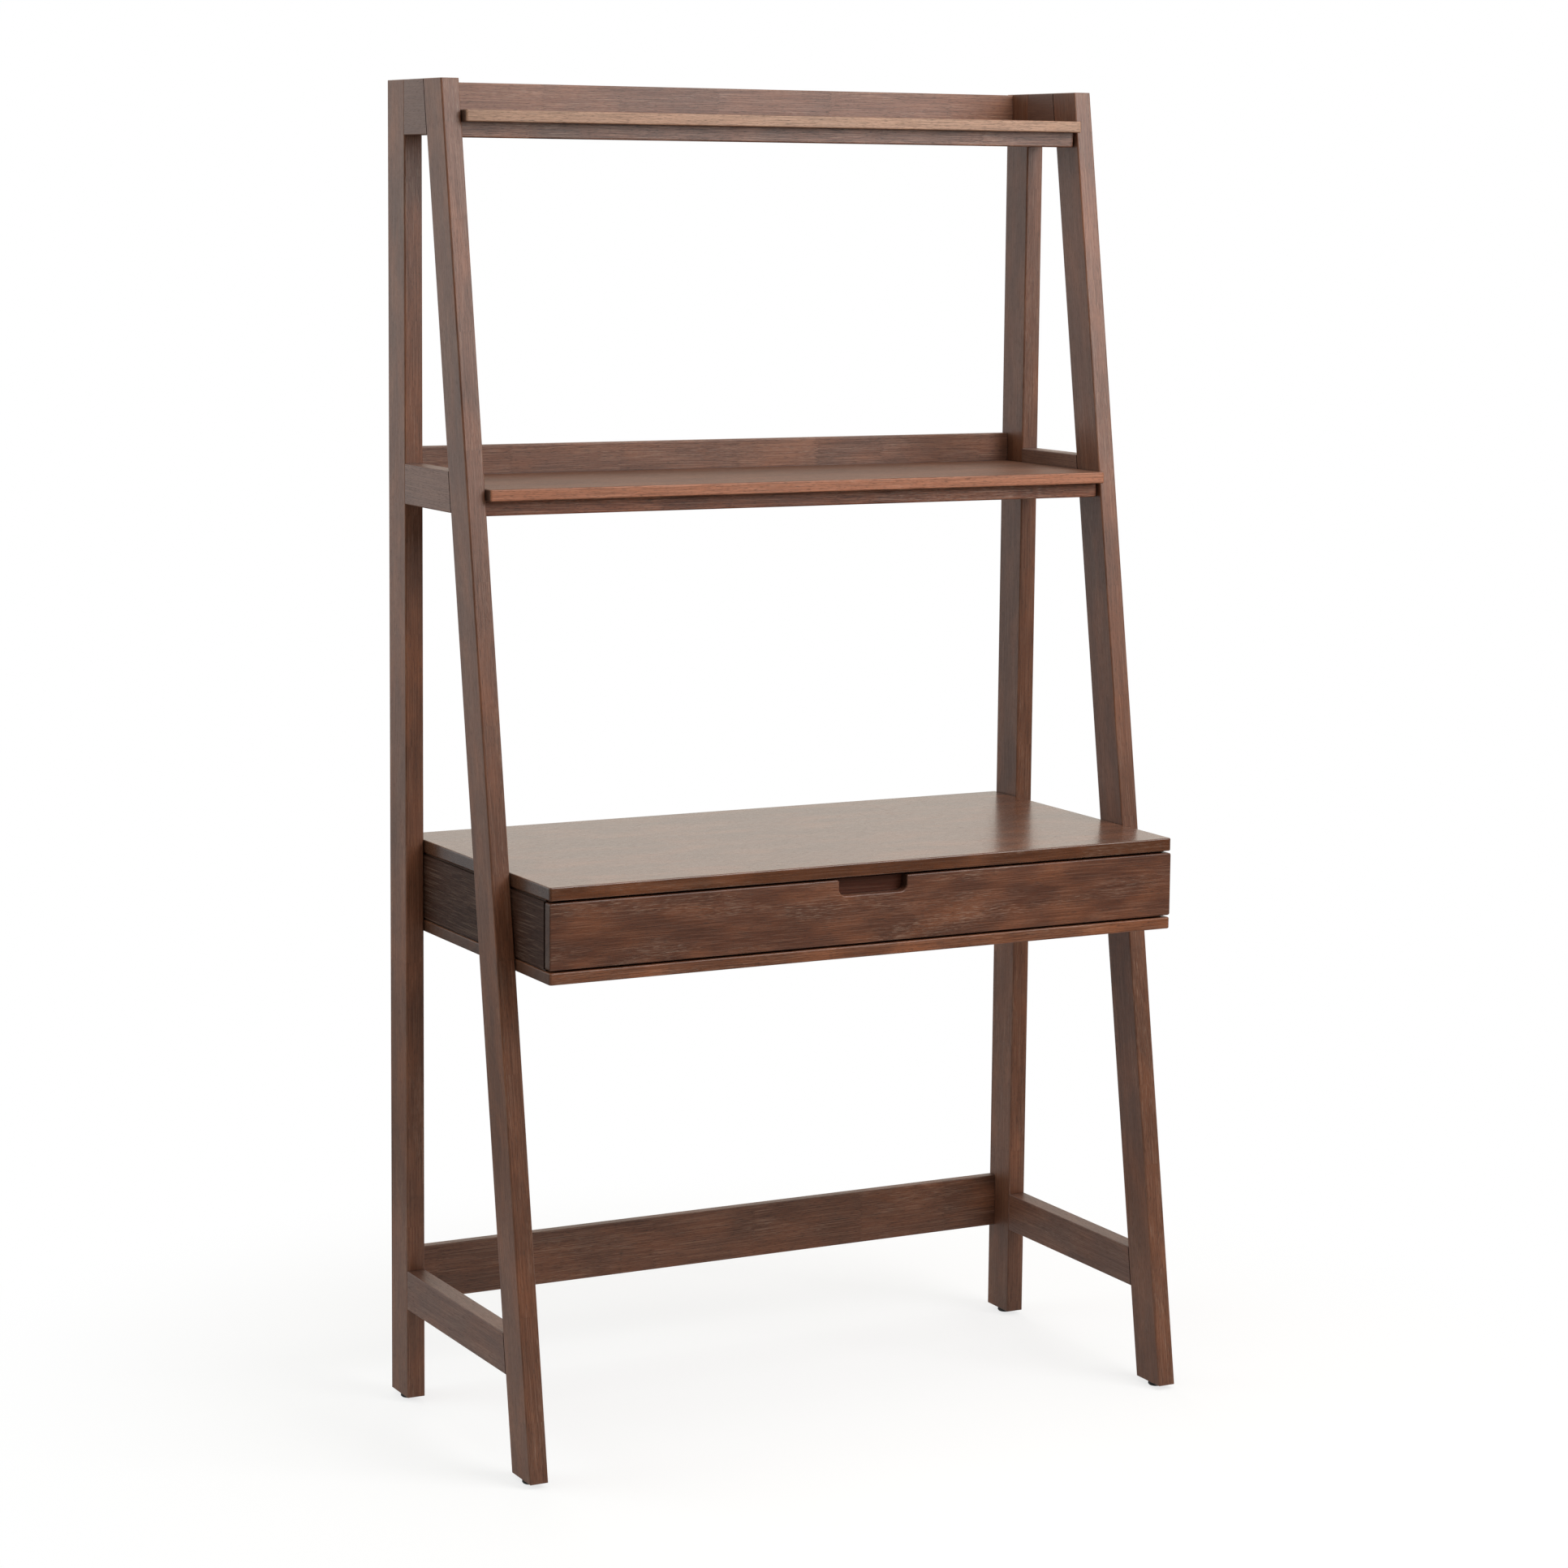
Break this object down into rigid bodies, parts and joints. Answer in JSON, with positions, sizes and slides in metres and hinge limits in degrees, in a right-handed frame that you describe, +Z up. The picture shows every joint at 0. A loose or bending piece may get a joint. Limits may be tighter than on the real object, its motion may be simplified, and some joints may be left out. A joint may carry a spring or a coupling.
{
  "type": "ladder desk",
  "caption": "Tall wooden ladder desk: leaning front legs and upright rear legs carry narrow shelves over a desktop with a full-width drawer and a finger notch.",
  "frame": {"origin": "on the floor, in the middle of the desk's overall width and depth", "axes": "+Z up, +X towards the desk's right as its user faces it, +Y towards its back"},
  "size_m": [1.004, 0.4766, 1.829],
  "materials": {
    "walnut": "dark walnut stain under a satin lacquer, fine straight pores along the grain",
    "drawer_ply": "plywood stained to match, sealed",
    "black_plastic": "moulded, fine satin",
    "zinc_steel": "rolled or turned, bright zinc plated",
    "cast_zinc": "die cast, dull",
    "brass": "turned, plain",
    "beech": "turned and fluted, unfinished"
  },
  "bodies": {
    "frame": {"left_rear_leg": "walnut", "right_rear_leg": "walnut", "left_front_leg": "walnut", "right_front_leg": "walnut", "left_top_block": "walnut", "right_top_block": "walnut", "left_mid_rail": "walnut", "right_mid_rail": "walnut", "left_lower_rail": "walnut", "right_lower_rail": "walnut", "top_shelf": "walnut", "top_back_panel": "walnut", "top_apron": "walnut", "mid_shelf": "walnut", "mid_back_panel": "walnut", "mid_apron": "walnut", "lower_back_rail": "walnut", "desktop": "walnut", "desk_underboard": "walnut", "desk_back": "walnut", "desk_left_side": "walnut", "desk_right_side": "walnut", "left_rear_glide": "black_plastic", "left_front_glide": "black_plastic", "right_rear_glide": "black_plastic", "right_front_glide": "black_plastic", "left_slide_outer": "zinc_steel", "right_slide_outer": "zinc_steel", "slide_case_screws": "zinc_steel", "desk_box_bolts": "zinc_steel", "top_shelf_cam_bolts": "zinc_steel", "mid_shelf_cam_bolts": "zinc_steel", "back_rail_cam_bolts": "zinc_steel", "top_shelf_cams": "cast_zinc", "mid_shelf_cams": "cast_zinc", "back_rail_cams": "cast_zinc", "leg_inserts": "brass", "top_shelf_pegs": "beech", "mid_shelf_pegs": "beech", "back_rail_pegs": "beech"},
    "drawer": {"drawer_front": "walnut", "drawer_inner_front": "drawer_ply", "drawer_left_side": "drawer_ply", "drawer_right_side": "drawer_ply", "drawer_back": "drawer_ply", "drawer_bottom": "drawer_ply", "left_slide_inner": "zinc_steel", "right_slide_inner": "zinc_steel", "slide_drawer_screws": "zinc_steel", "drawer_front_screws": "zinc_steel"},
    "left_carriage": {"left_slide_middle": "zinc_steel"},
    "left_outer_balls": {"left_outer_cage": "zinc_steel"},
    "left_inner_balls": {"left_inner_cage": "zinc_steel"},
    "right_carriage": {"right_slide_middle": "zinc_steel"},
    "right_outer_balls": {"right_outer_cage": "zinc_steel"},
    "right_inner_balls": {"right_inner_cage": "zinc_steel"}
  },
  "joints": [
    {"name": "drawer_slide", "type": "slide", "parent": "frame", "child": "drawer", "axis": [0, -1, 0], "range_m": [0, 0.36]},
    {"name": "left_carriage_slide", "type": "slide", "parent": "frame", "child": "left_carriage", "axis": [0, -1, 0], "range_m": [0, 0.18]},
    {"name": "left_outer_balls_slide", "type": "slide", "parent": "frame", "child": "left_outer_balls", "axis": [0, -1, 0], "range_m": [0, 0.09]},
    {"name": "left_inner_balls_slide", "type": "slide", "parent": "frame", "child": "left_inner_balls", "axis": [0, -1, 0], "range_m": [0, 0.27]},
    {"name": "right_carriage_slide", "type": "slide", "parent": "frame", "child": "right_carriage", "axis": [0, -1, 0], "range_m": [0, 0.18]},
    {"name": "right_outer_balls_slide", "type": "slide", "parent": "frame", "child": "right_outer_balls", "axis": [0, -1, 0], "range_m": [0, 0.09]},
    {"name": "right_inner_balls_slide", "type": "slide", "parent": "frame", "child": "right_inner_balls", "axis": [0, -1, 0], "range_m": [0, 0.27]}
  ],
  "couplings": [
    {"joint": "left_carriage_slide", "follows": "drawer_slide", "ratio": 0.5},
    {"joint": "left_outer_balls_slide", "follows": "drawer_slide", "ratio": 0.25},
    {"joint": "left_inner_balls_slide", "follows": "drawer_slide", "ratio": 0.75},
    {"joint": "right_carriage_slide", "follows": "drawer_slide", "ratio": 0.5},
    {"joint": "right_outer_balls_slide", "follows": "drawer_slide", "ratio": 0.25},
    {"joint": "right_inner_balls_slide", "follows": "drawer_slide", "ratio": 0.75}
  ]
}
